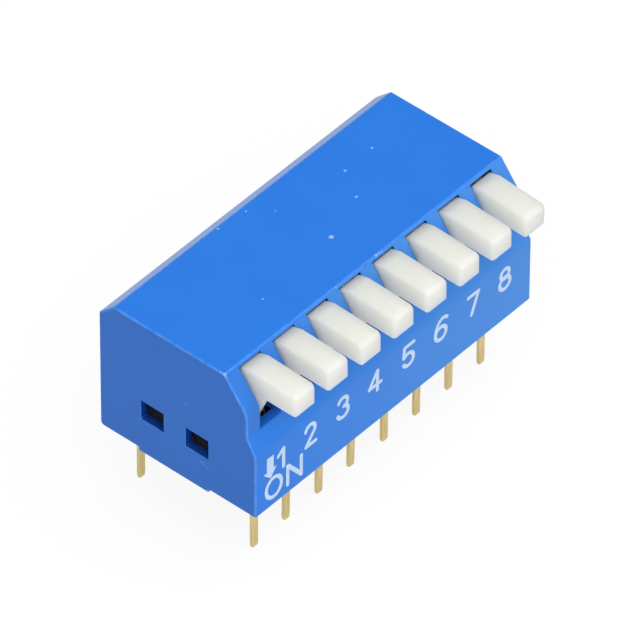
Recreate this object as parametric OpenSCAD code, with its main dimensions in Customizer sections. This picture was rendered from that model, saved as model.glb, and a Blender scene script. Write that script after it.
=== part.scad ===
// Piano-type DIP switch: a bank of rocker levers side by side in one moulded housing. Each
// lever carries a contact bridge that joins, when the lever is down, a front terminal to a
// rear one.
// Frame: X along the row of levers, -Y towards the levers, +Z up. The origin lies on the
// board, in the middle of the pin grid, and heights are above the board.

/* [Pin grid] */
// Number of levers
positions = 8; // [2:1:12]
// Distance between neighbouring levers, and between neighbouring pins of a row
pitch = 2.54; // [2.1:0.01:3.2]
// Distance between the front and the rear row of pins
row_span = 7.62; // [6.3:0.01:10]
// Length of a pin below the board's top
pin_l = 4.07; // [2.5:0.01:6]
// Width of a pin along the row
pin_w = 0.45; // [0.3:0.01:0.6]
// Width of a pin's tip
pin_tip_w = 0.2; // [0.1:0.01:0.3]
// Height of the taper at a pin's tip
pin_tip_h = 0.3; // [0.1:0.01:1]

/* [Housing] */
// Housing beyond the outermost pitch, at each end
end_margin = 0.54; // [0.3:0.01:1.5]
// Front face beyond the front row of pins
front_margin = 1.73; // [1.4:0.01:2.2]
// Rear face beyond the rear row of pins
rear_margin = 1.11; // [0.9:0.01:2.5]
// Height of the top face
top_z = 8.95; // [7.4:0.01:12]
// Height of the standoffs, which is the gap under the housing
standoff_h = 0.22; // [0.1:0.01:0.5]
// Width of a standoff from front to rear
standoff_w = 4.7; // [2:0.1:8]
// Depth of the slope from the top face down to the brow
slope_run = 1.51; // [1.2:0.01:1.8]
// Height of that slope
slope_rise = 1.99; // [1.6:0.01:2.2]
// Height of the brow, the upright strip under the slope
brow_h = 1.51; // [1.2:0.01:1.8]
// Radius that rounds the slope into the brow
brow_r = 1.2; // [0.2:0.1:2]
// Depth of the ledge between the brow and the front face
ledge_run = 0.57; // [0.4:0.01:0.8]
// Height of the ledge
ledge_rise = 1.04; // [0.8:0.01:1.3]
// Depth of the chamfer along the rear of the top face
chamfer_run = 0.99; // [0.3:0.01:1.2]
// Height of that chamfer
chamfer_rise = 0.94; // [0.3:0.01:1.2]
// Radius of the two edges of the top face
top_r = 0.16; // [0.02:0.01:0.2]
// Radius of the edges of the ledge and of the chamfer's lower edge
edge_r = 0.12; // [0:0.01:0.25]
// Radius of the lower rear edge
foot_edge_r = 0.25; // [0:0.01:0.4]

/* [Walls] */
// Thickness of the front wall
front_wall = 0.6; // [0.4:0.01:0.8]
// Thickness of the wall behind the ledge and the brow
brow_wall = 0.55; // [0.4:0.01:0.65]
// Thickness of the rear wall
rear_wall = 0.6; // [0.4:0.01:0.75]
// Thickness of the end walls
end_wall = 0.5; // [0.3:0.01:0.6]
// Thickness of the roof
roof = 0.75; // [0.5:0.01:0.8]
// Thickness of the partitions between the cells behind the levers
partition = 0.5; // [0.3:0.01:0.9]
// Thickness of the ribs behind the levers' heels
rib_back = 0.35; // [0.2:0.01:0.4]
// Height of the thin lip left under the slots, inside
lip_h = 0.15; // [0.1:0.01:0.3]
// Width of the windows in the end walls
window_w = 1.53; // [1:0.01:2]
// Height of the windows
window_h = 1.3; // [0.9:0.01:1.6]
// Height of the windows' sill
sill_z = 2.32; // [2.2:0.01:2.8]
// Distance between the centres of an end wall's two windows
window_span = 3; // [2.5:0.01:4]
// How far both windows sit towards the levers from the middle of the pin grid
window_shift = 0.11; // [0:0.01:0.3]

/* [Lever slots] */
// Width of a slot
slot_w = 1.6; // [1.3:0.01:1.95]
// Height of a slot's lower edge above the foot of the ledge
slot_rise = 1.01; // [0.8:0.01:1.25]
// Strip of the slope left above a slot
slot_brow = 0.2; // [0.1:0.01:0.4]

/* [Levers] */
// Clearance between a lever and each side of its slot
side_gap = 0.07; // [0.06:0.01:0.2]
// Distance of the pivot behind the front face
pivot_in = 2.34; // [2.2:0.01:2.6]
// Depth of the pivot below the top face
pivot_drop = 1.98; // [1.9:0.01:2.2]
// Turn of each lever from fully off, as the levers stand, in degrees
lever_turn = [0, 0, 0.5, 0.3, 0.6, 0.6, 0.6, 2.5]; // [0:0.1:5]
// Shift of each lever along the row inside its slot
lever_shift = [0.02, 0, -0.04, -0.05, -0.03, -0.04, -0.05, -0.05]; // [-0.05:0.01:0.05]
// Radius of the round front of the hub
hub_r = 1.69; // [1.4:0.01:1.9]
// Radius of the back of the hub
heel_r = 1.15; // [0.9:0.01:1.15]
// Reach of the neck ahead of the pivot, where it meets the paddle's underside
neck_reach = 2.12; // [1.9:0.01:2.4]
// Thickness of the cheek, on a lever's left side, that carries the neck and the hub's round front
cheek_t = 0.22; // [0.15:0.01:0.4]
// Radius of the fillet between the neck and the paddle
neck_r = 0.1; // [0.05:0.01:0.3]
// Radius of the trunnions
trunnion_r = 0.6; // [0.4:0.01:0.75]
// Reach of the paddle's tip beyond the front face
overhang = 1.71; // [1:0.01:3]
// How far the tip's upper edge lies behind its lower edge
tip_lean = 0.02; // [0:0.01:0.3]
// Height of the tip
tip_h = 1.28; // [0.9:0.01:1.35]
// Depth of the tip's upper edge below the top face
tip_drop = 0.1; // [0.05:0.01:0.4]
// Distance of the paddle's crest behind the front face
crest_in = 1.34; // [1.1:0.01:1.5]
// Depth of the crest below the top face
crest_drop = 0.01; // [0:0.01:0.1]
// Radius of the crest
crest_r = 0.4; // [0.1:0.01:0.6]
// Radius of the tip's upper edge
tip_top_r = 0.15; // [0.05:0.01:0.4]
// Radius of the tip's lower edge
tip_low_r = 0.12; // [0.05:0.01:0.3]
// Radius of the lever's rear edge
rear_r = 0.05; // [0:0.01:0.1]
// Depth of the lever's rear edge below the slope
rear_sink = 0.13; // [0.05:0.01:0.3]
// Clearance between the lever's rear edge and the slot's upper edge
rear_gap = 0.06; // [0.05:0.01:0.3]

/* [Contacts] */
// Radius, about the pivot, of the bridge's running face
bridge_r = 2.86; // [2.5:0.01:3]
// Thickness of the bridge
bridge_t = 0.13; // [0.1:0.01:0.2]
// Width of the bridge along the row
bridge_w = 1; // [0.6:0.01:1.3]
// Height of the bridge's two sides
bridge_h = 0.9; // [0.5:0.01:1]
// Thickness of the lever's arm, from front to rear
arm_t = 0.8; // [0.5:0.01:1]
// Lean of the arm to the front when the lever is off
arm_lean = 10; // [8:1:14]
// Clearance between the bridge and the terminals
slide_gap = 0.04; // [0.02:0.01:0.08]
// Thickness of the terminal strip
strip_t = 0.2; // [0.15:0.01:0.25]
// Width of the terminal strip inside the switch
strip_w = 0.9; // [0.6:0.01:1.2]
// Front end of the front terminal's pad, ahead of the pivot
front_pad_reach = 0.5; // [0.3:0.01:0.9]
// Rear end of the front terminal's pad, behind the pivot
front_pad_end = 0.6; // [0.4:0.01:0.65]
// Front end of the rear terminal's pad, behind the pivot
rear_pad_start = 0.9; // [0.8:0.01:1]
// Distance of the rear terminal's riser behind the pivot
riser_in = 1.62; // [1.5:0.01:1.7]
// Clearance behind the riser
riser_gap = 0.18; // [0.05:0.01:0.3]

/* [Base] */
// Height of the base's underside
base_z = 0.6; // [0.4:0.01:1]
// Height of the base plate's top
plate_z = 2.1; // [1.8:0.01:2.2]
// Clearance of the base all round inside the housing
base_gap = 0.05; // [0.03:0.01:0.1]
// Running clearance round the trunnions
trunnion_gap = 0.03; // [0.02:0.01:0.08]
// Front of the cradle under the levers, ahead of the pivot
cradle_front = 1.15; // [0.8:0.01:1.2]
// Height of the pads above the cradle's face
pad_rise = 0.03; // [0.01:0.01:0.1]
// Thickness of the latches at the ends of the base
latch_t = 0.5; // [0.3:0.01:0.8]
// Height of a latch above the windows' sill
latch_h = 0.9; // [0.5:0.01:1.1]
// Reach of a latch's barb over the windows' sill
barb = 0.08; // [0.04:0.01:0.15]
// Height of the upright face of the barb
barb_h = 0.1; // [0.05:0.01:0.2]

/* [Hidden] */
$fn = 64;
// Overshoot of a cut past the face that it leaves by
past = 1;
// Depth by which shapes that are joined run into each other
into = 0.1;

body_l = positions * pitch + 2 * end_margin;
front_y = -row_span / 2 - front_margin;
rear_y = row_span / 2 + rear_margin;
ledge_z = top_z - slope_rise - brow_h - ledge_rise;
brow_y = front_y + ledge_run;
slope_foot = [brow_y, top_z - slope_rise];
slope_head = slope_foot + [slope_run, slope_rise];
slope_down = unit(slope_foot - slope_head);
slope_in = unit([slope_rise, -slope_run]);

// Inside of the housing
window_ys = [-1, 1] * window_span / 2 - [1, 1] * window_shift;
cavity_l = body_l - 2 * end_wall;
inner_front = front_y + front_wall;
inner_brow = brow_y + brow_wall;
inner_rear = rear_y - rear_wall;
roof_z = top_z - roof;
slot_z = ledge_z + slot_rise;
slot_head = slope_head + slot_brow * slope_down;

// The pivots lie on one line
pivot_y = front_y + pivot_in;
pivot_z = top_z - pivot_drop;
groove_r = trunnion_r + trunnion_gap;
trunnion_l = pitch - 2 * side_gap;
groove_l = positions * pitch + side_gap;
// The ribs between the levers reach this far under and behind the pivots
rib_z = pivot_z - hub_r - trunnion_gap;
rib_y = pivot_y + heel_r + rib_back;
// The room above the base plate ends here
room_y = pivot_y + riser_in + strip_t + riser_gap;
// Size of the chamfer inside the roof, as a share of the one outside
inner_share = 0.7;

lever_w = slot_w - 2 * side_gap;
foot_r = bridge_r - bridge_t;
pad_r = bridge_r + slide_gap;
// Angle at which the hub's round front ends, from straight down towards the rear
hub_back = -120;
// Top of the ramp on a latch, as a share of the latch's height
ramp_share = 0.7;
// Places below are seen from the pivot, as are the outlines that use them
tip_y = -pivot_in - overhang;
paddle_z = pivot_drop - tip_drop - tip_h;
// The neck runs straight from the paddle to the hub's round front
neck_top = [-neck_reach, paddle_z];
neck_turn = atan2(neck_top.y, neck_top.x) + acos(hub_r / norm(neck_top));
neck_foot = hub_r * [cos(neck_turn), sin(neck_turn)];
lever_rear = slot_head + rear_sink * slope_in + rear_gap * slope_down - [pivot_y, pivot_z];
front_leg_y = -row_span / 2 - pivot_y;
rear_leg_y = row_span / 2 - pivot_y;
plate_top = plate_z - pivot_z;
front_pad_start = min(front_leg_y - strip_t / 2, -front_pad_reach);
// Height inside the base at which a terminal widens from pin to strip
shoulder_z = (base_z + plate_z) / 2;

function unit(v) = v / norm(v);

// Points that round the corner b, between a and c, to radius r
function corner(a, b, c, r, steps = 6) =
    r == 0 ? [b] :
    let (
        u = unit(a - b),
        v = unit(c - b),
        half = acos(u * v) / 2,
        middle = b + unit(u + v) * r / sin(half),
        start = b + u * r / tan(half) - middle,
        stop = b + v * r / tan(half) - middle
    )
    [for (i = [0:steps]) middle + r * unit(start * (1 - i / steps) + stop * i / steps)];

// Outline through the points [y, z, corner radius]
function rounded(points) =
    let (
        count = len(points),
        at = [for (p = points) [p[0], p[1]]]
    )
    [for (i = [0:count - 1])
        each corner(at[(i + count - 1) % count], at[i], at[(i + 1) % count], points[i][2])];

// Middle of one slot along the row
function slot_x(i) = (i - (positions + 1) / 2) * pitch;

// How one lever stands: its turn, and its middle along the row
function turn(i) = lever_turn[(i - 1) % len(lever_turn)];
function lever_x(i) = slot_x(i) + lever_shift[(i - 1) % len(lever_shift)];

// A flat outline in Y and Z, drawn out along X to both sides of the middle
module along_x(width) {
    rotate([90, 0, 90]) linear_extrude(width, center = true) children();
}

// The same, drawn seen from the pivot
module at_pivot(width) {
    translate([0, pivot_y, pivot_z]) along_x(width) children();
}

// One child at the middle of each slot
module each_slot() {
    for (i = [1:positions]) translate([slot_x(i), 0, 0]) children();
}

// Wedge from the pivot between two angles, taken from straight down towards the rear
module wedge(from, to, r) {
    polygon(concat([[0, 0]], [for (i = [0:6])
        let (a = from + (to - from) * i / 6) 1.1 * r * [sin(a), -cos(a)]]));
}

// Outside of the housing, without its openings
module housing_outline() {
    polygon(rounded([
        [front_y, standoff_h, 0],
        [front_y, ledge_z, edge_r],
        [brow_y, ledge_z + ledge_rise, edge_r],
        [slope_foot.x, slope_foot.y, brow_r],
        [slope_head.x, slope_head.y, top_r],
        [rear_y - chamfer_run, top_z, top_r],
        [rear_y, top_z - chamfer_rise, edge_r],
        [rear_y, standoff_h, foot_edge_r]
    ]));
}

// Room for the base, open below, as far up as the ribs
module base_room() {
    along_x(cavity_l) polygon([
        [inner_front, -past],
        [inner_front, ledge_z],
        [inner_brow, slot_z - lip_h],
        [inner_brow, rib_z],
        [room_y, rib_z],
        [room_y, plate_z],
        [inner_rear, plate_z],
        [inner_rear, -past]
    ]);
}

// Cells behind the levers, with partitions left between them
module cells() {
    difference() {
        along_x(cavity_l) polygon([
            [rib_y, rib_z - into],
            [room_y - into, rib_z - into],
            [room_y - into, plate_z - into],
            [inner_rear, plate_z - into],
            [inner_rear, roof_z - inner_share * chamfer_rise],
            [inner_rear - inner_share * chamfer_run, roof_z],
            [rib_y, roof_z]
        ]);
        for (i = [1:positions - 1])
            translate([slot_x(i) + pitch / 2, 0, 0])
                along_x(partition) polygon([
                    [rib_y - past, rib_z - past],
                    [room_y, rib_z - past],
                    [room_y, plate_z],
                    [rear_y, plate_z],
                    [rear_y, top_z],
                    [rib_y - past, top_z]
                ]);
    }
}

// Slot that one lever stands in, from the room below out through the slope and the brow
module slot() {
    along_x(slot_w) polygon([
        [front_y - past, slot_z],
        [inner_brow, slot_z],
        [inner_brow, rib_z - into],
        [rib_y + into, rib_z - into],
        [rib_y + into, roof_z],
        [slot_head.x + slope_in.x / -slope_in.y * (slot_head.y - roof_z), roof_z],
        slot_head,
        slot_head - 2 * past * slope_in,
        [front_y - past, top_z]
    ]);
}

// Grooves for the trunnions, one line of them through all the ribs, open below
module trunnion_grooves() {
    at_pivot(groove_l) {
        circle(groove_r);
        translate([-groove_r, rib_z - pivot_z - into])
            square([2 * groove_r, pivot_z - rib_z + into]);
    }
}

module windows() {
    for (side = [-1, 1], y = window_ys)
        translate([side * body_l / 2, y, sill_z + window_h / 2])
            cube([3 * end_wall, window_w, window_h], center = true);
}

module standoffs() {
    for (side = [-1, 1])
        translate([side * (body_l - end_wall) / 2, 0, (standoff_h + into) / 2])
            cube([end_wall, standoff_w, standoff_h + into], center = true);
}

module housing() {
    color("#2f74d6") {
        difference() {
            along_x(body_l) housing_outline();
            base_room();
            cells();
            each_slot() slot();
            trunnion_grooves();
            windows();
        }
        standoffs();
    }
}

// Strip bent to an arc about the pivot, from one place to another along Y
module arc_strip(from, to) {
    difference() {
        intersection() {
            circle(pad_r + strip_t);
            translate([from, -2 * pad_r]) square([to - from, 2 * pad_r - heel_r]);
        }
        circle(pad_r);
    }
}

// Upright strip at y, from height low up to the arc of the pads
module upright_strip(y, low) {
    difference() {
        translate([y - strip_t / 2, low]) square([strip_t, -heel_r - low]);
        circle(pad_r);
    }
}

// Pin under the base, with a tapered tip, up to height high
module pin(y, high) {
    translate([0, y, 0]) rotate([90, 0, 0])
        linear_extrude(strip_t, center = true) polygon([
            [-pin_w / 2, high],
            [-pin_w / 2, -pin_l + pin_tip_h],
            [-pin_tip_w / 2, -pin_l],
            [pin_tip_w / 2, -pin_l],
            [pin_w / 2, -pin_l + pin_tip_h],
            [pin_w / 2, high]
        ]);
}

module front_terminal(i) {
    color("#d6bd7e") translate([slot_x(i), 0, 0]) {
        at_pivot(strip_w) {
            arc_strip(front_pad_start, front_pad_end);
            upright_strip(front_leg_y, shoulder_z - pivot_z);
        }
        pin(-row_span / 2, shoulder_z + into);
    }
}

module rear_terminal(i) {
    color("#d6bd7e") translate([slot_x(i), 0, 0]) {
        at_pivot(strip_w) {
            arc_strip(rear_pad_start, riser_in + strip_t);
            upright_strip(riser_in + strip_t / 2, plate_top);
            translate([riser_in, plate_top])
                square([rear_leg_y + strip_t / 2 - riser_in, strip_t]);
            translate([rear_leg_y - strip_t / 2, shoulder_z - pivot_z])
                square([strip_t, plate_z - shoulder_z + strip_t]);
        }
        pin(row_span / 2, shoulder_z + into);
    }
}

// Plate, and the cradle on it with a round hollow under the levers
module base_block() {
    length = cavity_l - 2 * base_gap;
    translate([-length / 2, inner_front + base_gap, base_z])
        cube([length, inner_rear - inner_front - 2 * base_gap, plate_z - base_z]);
    at_pivot(length) difference() {
        translate([-cradle_front, plate_top - into])
            square([cradle_front + riser_in, into - heel_r - plate_top]);
        circle(pad_r + pad_rise);
    }
}

// Posts that stand in the housing's grooves and carry the trunnions on their tops
module posts() {
    difference() {
        intersection() {
            for (i = [0:positions])
                translate([slot_x(i) + pitch / 2, 0, 0])
                    at_pivot(pitch - slot_w - 2 * base_gap)
                        translate([-trunnion_r, plate_top - into])
                            square([2 * trunnion_r, into - plate_top]);
            at_pivot(groove_l - 2 * base_gap) square(4 * pivot_z, center = true);
        }
        at_pivot(2 * body_l) circle(groove_r);
    }
}

// Latch in one window, with its barb over the sill
module latch() {
    wall_x = cavity_l / 2;
    rotate([90, 0, 0]) linear_extrude(window_w - 2 * base_gap, center = true) polygon([
        [wall_x - base_gap - latch_t, plate_z - into],
        [wall_x - base_gap, plate_z - into],
        [wall_x - base_gap, sill_z + base_gap],
        [wall_x + barb, sill_z + base_gap],
        [wall_x + barb, sill_z + base_gap + barb_h],
        [wall_x - base_gap, sill_z + ramp_share * latch_h],
        [wall_x - base_gap, sill_z + latch_h],
        [wall_x - base_gap - latch_t, sill_z + latch_h]
    ]);
}

module latches() {
    for (side = [0, 1], y = window_ys)
        mirror([side, 0, 0]) translate([0, y, 0]) latch();
}

module base() {
    color("#23201f") difference() {
        union() {
            base_block();
            posts();
            latches();
        }
        for (i = [1:positions]) {
            front_terminal(i);
            rear_terminal(i);
        }
    }
}

// Arm under the hub, seen from the pivot with the arm upright
module arm_outline() {
    intersection() {
        translate([-arm_t / 2, -foot_r]) square([arm_t, foot_r]);
        circle(foot_r);
    }
}

// Side of a lever, seen from the pivot: paddle, heel and arm
module core_outline() {
    polygon(rounded([
        [lever_rear.x, lever_rear.y, rear_r],
        [-pivot_in + crest_in, pivot_drop - crest_drop, crest_r],
        [tip_y + tip_lean, pivot_drop - tip_drop, tip_top_r],
        [tip_y, paddle_z, tip_low_r],
        [-heel_r / 2, paddle_z, 0],
        [0, 0, 0]
    ]));
    circle(heel_r);
    rotate(-arm_lean) arm_outline();
}

// The same with the neck and the hub's round front, which only the cheek has
module cheek_outline() {
    core_outline();
    polygon(rounded([
        [tip_y / 2 + neck_top.x / 2, paddle_z, 0],
        [neck_top.x, neck_top.y, neck_r],
        [neck_foot.x, neck_foot.y, 0],
        [0, 0, 0],
        [0, pivot_drop / 2, 0],
        [tip_y / 2 + neck_top.x / 2, pivot_drop / 2, 0]
    ]));
    intersection() {
        circle(hub_r);
        wedge(hub_back, -arm_lean, hub_r);
    }
}

module lever(i) {
    color("#e8e7df") translate([lever_x(i), 0, 0]) {
        translate([cheek_t / 2, 0, 0]) at_pivot(lever_w - cheek_t) rotate(turn(i)) core_outline();
        translate([(cheek_t - lever_w) / 2, 0, 0]) at_pivot(cheek_t) rotate(turn(i)) cheek_outline();
        at_pivot(trunnion_l) circle(trunnion_r);
    }
}

// Springy channel clipped over the foot of the arm
module bridge(i) {
    color("#d6bd7e") translate([lever_x(i), 0, 0])
        at_pivot(bridge_w) rotate(turn(i) - arm_lean) difference() {
            intersection() {
                circle(bridge_r);
                translate([-arm_t / 2 - bridge_t, -bridge_r])
                    square([arm_t + 2 * bridge_t, bridge_h]);
            }
            arm_outline();
        }
}

housing();
base();
for (i = [1:positions]) {
    lever(i);
    bridge(i);
    front_terminal(i);
    rear_terminal(i);
}
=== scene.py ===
# %% [markdown]
# # A piano-type DIP switch
# A small bank of eight rocker switches for a circuit board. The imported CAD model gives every
# piece its place and size in metres, so it is loaded first and kept as a fixed frame. The
# pieces modelled here take the places of the CAD pieces and ride on the same bodies.

import bmesh
import bpy
import numpy as np
from mathutils import Matrix, Vector


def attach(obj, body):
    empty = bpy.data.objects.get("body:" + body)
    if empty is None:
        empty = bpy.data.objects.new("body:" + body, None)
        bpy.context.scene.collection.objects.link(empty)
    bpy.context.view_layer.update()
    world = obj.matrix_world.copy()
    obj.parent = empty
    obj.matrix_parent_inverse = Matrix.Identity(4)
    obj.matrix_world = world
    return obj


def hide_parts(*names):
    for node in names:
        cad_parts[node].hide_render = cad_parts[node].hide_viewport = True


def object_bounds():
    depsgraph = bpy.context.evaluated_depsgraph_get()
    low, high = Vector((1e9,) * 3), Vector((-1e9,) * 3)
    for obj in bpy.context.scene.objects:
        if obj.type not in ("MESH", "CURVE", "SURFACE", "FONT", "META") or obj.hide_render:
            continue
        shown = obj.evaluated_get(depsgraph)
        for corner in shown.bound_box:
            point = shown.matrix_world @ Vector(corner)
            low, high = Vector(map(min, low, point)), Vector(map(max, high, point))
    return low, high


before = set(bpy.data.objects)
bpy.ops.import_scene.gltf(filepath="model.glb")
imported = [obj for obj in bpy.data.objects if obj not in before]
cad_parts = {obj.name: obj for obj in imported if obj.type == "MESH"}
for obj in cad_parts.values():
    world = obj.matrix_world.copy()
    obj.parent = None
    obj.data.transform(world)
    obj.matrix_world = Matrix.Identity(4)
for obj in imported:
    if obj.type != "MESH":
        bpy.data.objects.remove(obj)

MM = 0.001
POSITIONS = 8
PITCH = 2.54
CASE = "case"
# How far the housing reaches towards both ends, upwards and forwards, in mm.
HALF_LENGTH, TOP, FRONT = 10.7, 8.95, -5.54
cad_box = [list(corner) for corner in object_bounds()]
print("box of the CAD model in mm:", np.round(np.array(cad_box) / MM, 2).tolist())

# %% [markdown]
# ## Where the camera stands
# A small part is shown from far away with a long lens, which keeps parallel edges nearly
# parallel. The camera looks from the front left and from above, at an angle of about 43
# degrees. Its three axes are written out as vectors, because a roll of a third of a degree is
# easier to follow there than in three turned angles.

# %% Camera
# How far away the camera stands, the width of its sensor and the length of its lens, in mm.
DISTANCE, SENSOR, LENS = 538.3, 36, 595.4
azimuth, elevation, tilt = np.radians([-49.27, 43.47, 0.3])
level = np.sin(azimuth) * np.cos(elevation), -np.cos(azimuth) * np.cos(elevation)
back = np.array([*level, np.sin(elevation)])
right = np.array([np.cos(azimuth), np.sin(azimuth), 0])
up = np.cross(back, right)
# It aims at a point inside the housing, moved a little to the right and down, in mm.
aim = np.array([0, 0, 3.22]) + 0.4 * right - 0.228 * up

camera = bpy.data.objects.new("camera", bpy.data.cameras.new("camera"))
bpy.context.collection.objects.link(camera)
axes = np.eye(4)
axes[:3, 0] = np.cos(tilt) * right + np.sin(tilt) * up
axes[:3, 1] = np.cos(tilt) * up - np.sin(tilt) * right
axes[:3, 2] = back
axes[:3, 3] = (aim + DISTANCE * back) * MM
camera.matrix_world = Matrix(axes.tolist())
camera.data.sensor_width, camera.data.lens = SENSOR, LENS
camera.data.clip_start, camera.data.clip_end = 0.05, 10
bpy.context.scene.camera = camera
print("camera at", np.round(camera.matrix_world.translation, 4).tolist())

# %% [markdown]
# ## Three helpers for finishes
# A colour is picked on screen as an sRGB hex value, but the shader works with linear light, so
# one function converts it. The second adds a shader node, sets its properties and fills its
# sockets with numbers or with links. The third starts a finish: a shader with its numbers, its
# output and the coordinates of the object, which all the patterns use. The frame is in metres,
# so a pattern with features of s millimetres has a scale of 1000 / s.

# %% Colour and node helpers
def linear(hex_colour):
    """An sRGB hex value as linear RGBA: below 0.04 a straight line, above it a power of 2.4."""
    srgb = np.array([int(hex_colour[i:i + 2], 16) for i in (1, 3, 5)]) / 255
    light = np.where(srgb <= 0.04045, srgb / 12.92, ((srgb + 0.055) / 1.055) ** 2.4)
    return (*light.tolist(), 1.0)


def add(tree, kind, inputs=None, **settings):
    """Adds a shader node: settings are its properties, inputs are values or sockets to link."""
    made = tree.nodes.new("ShaderNode" + kind)
    for name, value in settings.items():
        setattr(made, name, value)
    for name, value in (inputs or {}).items():
        socket = made.inputs[name]
        if isinstance(value, bpy.types.NodeSocket):
            tree.links.new(value, socket)
        else:
            socket.default_value = value
    return made


def finish(name, surface):
    """A material with the coordinates of its object and a Principled shader, whose sockets are
    set as surface says."""
    material = bpy.data.materials.new(name)
    material.use_nodes = True
    tree = material.node_tree
    tree.nodes.clear()
    place = add(tree, "TexCoord").outputs["Object"]
    shader = add(tree, "BsdfPrincipled", surface)
    add(tree, "OutputMaterial", {"Surface": shader.outputs["BSDF"]})
    return material, tree, place, shader


print("housing blue as linear light:", np.round(linear("#227CE7"), 3).tolist())

# %% [markdown]
# ## Blue PBT
# The housing is PBT, a tough polyester for electrical parts, dyed blue right through and
# injection moulded. It comes out satin, because spark erosion leaves a fine grain on the steel
# of the mould. Real grain is a few hundredths of a millimetre wide, too fine to show here, so
# it is drawn at 0.15 mm. Faint clouds a few millimetres wide come from the flow of the melt.
# A highlight on this plastic is broad and weak, which a high roughness gives.
#
# A few specks, where something hard has hit the plastic, are almost white.

# %% Helper for spots
# Width in mm of the noise that frays the rim of a spot.
FRAY = 0.08


def spots(tree, place, where):
    """A mask that is zero except at some spots (x, y, z, radius in mm, strength). It is full
    below 1.2 radii from the middle of a spot and fades out until 1.7 radii. A fine noise of one
    radius is added to the distance, which frays the rim."""
    fray = add(tree, "TexNoise", {"Vector": place, "Scale": 1000 / FRAY, "Detail": 2})
    mask = 0.0
    for x, y, z, radius, strength in where:
        middle, size = (x * MM, y * MM, z * MM), radius * MM
        far = add(tree, "VectorMath", {0: place, 1: middle}, operation="DISTANCE")
        frayed = add(tree, "Math", {0: fray.outputs["Fac"], 1: size, 2: far.outputs["Value"]},
                     operation="MULTIPLY_ADD")
        near = add(tree, "MapRange", {"Value": frayed.outputs[0], "From Min": 1.7 * size,
                                      "From Max": 1.2 * size, "To Max": strength})
        mask = add(tree, "Math", {0: near.outputs["Result"], 1: mask},
                   operation="MAXIMUM").outputs[0]
    return mask


print("spots fray over", FRAY, "mm")

# %% Housing finish
# Widths of the grain and of the clouds, and the depth of the relief, in mm.
GRAIN, CLOUD, RELIEF = 0.15, 4.0, 0.02
PBT_IOR = 1.55
SPECKS = [
    (0.4, -0.9, TOP, 0.13, 0.9), (3.5, 0.1, TOP, 0.08, 0.8), (4.6, 1.8, TOP, 0.08, 0.8),
    (6.8, 1.9, TOP, 0.07, 0.8), (-1.0, 3.6, TOP, 0.06, 0.6), (0.0, 2.5, TOP, 0.05, 0.5),
    (-2.9, 3.8, TOP, 0.08, 0.6), (-5.3, -1.3, TOP, 0.06, 0.7), (-HALF_LENGTH, -0.9, 5.3, 0.09, 0.2),
    (-HALF_LENGTH, -2.0, 1.88, 0.14, 0.13), (-HALF_LENGTH, -2.3, 1.74, 0.11, 0.1),
]


def moulded_blue(name, dark="#1F78E3", light="#2580EB", roughness=0.55, gloss=0.3):
    """The housing's plastic: two close blues mixed by the clouds, specks, and the grain as
    relief. Also gives back what a further coat needs: the tree and the socket of the colour."""
    surface = {"Roughness": roughness, "IOR": PBT_IOR, "Specular IOR Level": gloss}
    material, tree, place, shader = finish(name, surface)
    clouds = add(tree, "TexNoise", {"Vector": place, "Scale": 1000 / CLOUD, "Detail": 4,
                                    "Roughness": 0.6})
    blues = add(tree, "Mix", {"Factor": clouds.outputs["Fac"], "A": linear(dark),
                              "B": linear(light)}, data_type="RGBA")
    specked = add(tree, "Mix", {"Factor": spots(tree, place, SPECKS), "A": blues.outputs["Result"],
                                "B": linear("#A9CBF5")}, data_type="RGBA")
    grain = add(tree, "TexNoise", {"Vector": place, "Scale": 1000 / GRAIN, "Detail": 2})
    relief = add(tree, "Bump", {"Height": grain.outputs["Fac"], "Strength": 0.12,
                                "Distance": RELIEF * MM})
    tree.links.new(specked.outputs["Result"], shader.inputs["Base Color"])
    tree.links.new(relief.outputs["Normal"], shader.inputs["Normal"])
    return material, tree, place, shader, specked.outputs["Result"]


pbt_blue = moulded_blue("PBT moulded blue")[0]
print("finish:", pbt_blue.name)

# %% [markdown]
# The same plastic looks different on some faces. In the slots and windows its blue is painted
# darker towards the back, as painted shade. The chamfer at the back has been rubbed smooth by
# the rails of the tray, so it is glossier, and its blue is painted lighter as a painted highlight
# where it shines at a low angle. The end walls are painted a darker, greyer blue as shade.

# %% Finishes of other faces
def shaded_recess_plastic(name):
    """The blue of the outside with painted shade: it darkens towards the back, until y = -4.4 mm,
    and is darkest in the windows, where |x| > 9.8 mm. Behind y = -4.8 mm and above the slots'
    sills it is painted nearly black, as the shade where a lever hides the wall from the light."""
    material, tree, place, shader, blue = moulded_blue(name, gloss=0.12)
    at = add(tree, "SeparateXYZ", {0: place})
    inwards = add(tree, "MapRange", {"Value": at.outputs["Y"], "From Min": -5.8 * MM,
                                     "From Max": -4.4 * MM})
    deeper = add(tree, "Mix", {"Factor": inwards.outputs["Result"], "A": blue,
                               "B": linear("#185FC4")}, data_type="RGBA")
    off_middle = add(tree, "Math", {0: at.outputs["X"]}, operation="ABSOLUTE")
    window = add(tree, "Math", {0: off_middle.outputs[0], 1: 9.8 * MM}, operation="GREATER_THAN")
    deepest = add(tree, "Mix", {"Factor": window.outputs[0], "A": deeper.outputs["Result"],
                                "B": linear("#104297")}, data_type="RGBA")
    behind = add(tree, "MapRange", {"Value": at.outputs["Y"], "From Min": -4.8 * MM,
                                    "From Max": -4.3 * MM})
    above = add(tree, "MapRange", {"Value": at.outputs["Z"], "From Min": 5.43 * MM,
                                   "From Max": 5.6 * MM})
    hidden = add(tree, "Math", {0: behind.outputs["Result"], 1: above.outputs["Result"]},
                 operation="MULTIPLY")
    walls = add(tree, "Mix", {"Factor": hidden.outputs[0], "A": deepest.outputs["Result"],
                              "B": linear("#1B2C58")}, data_type="RGBA")
    tree.links.new(walls.outputs["Result"], shader.inputs["Base Color"])
    return material


# Painted shade in the slots and windows: darker towards the back, nearly black behind the levers.
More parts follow.
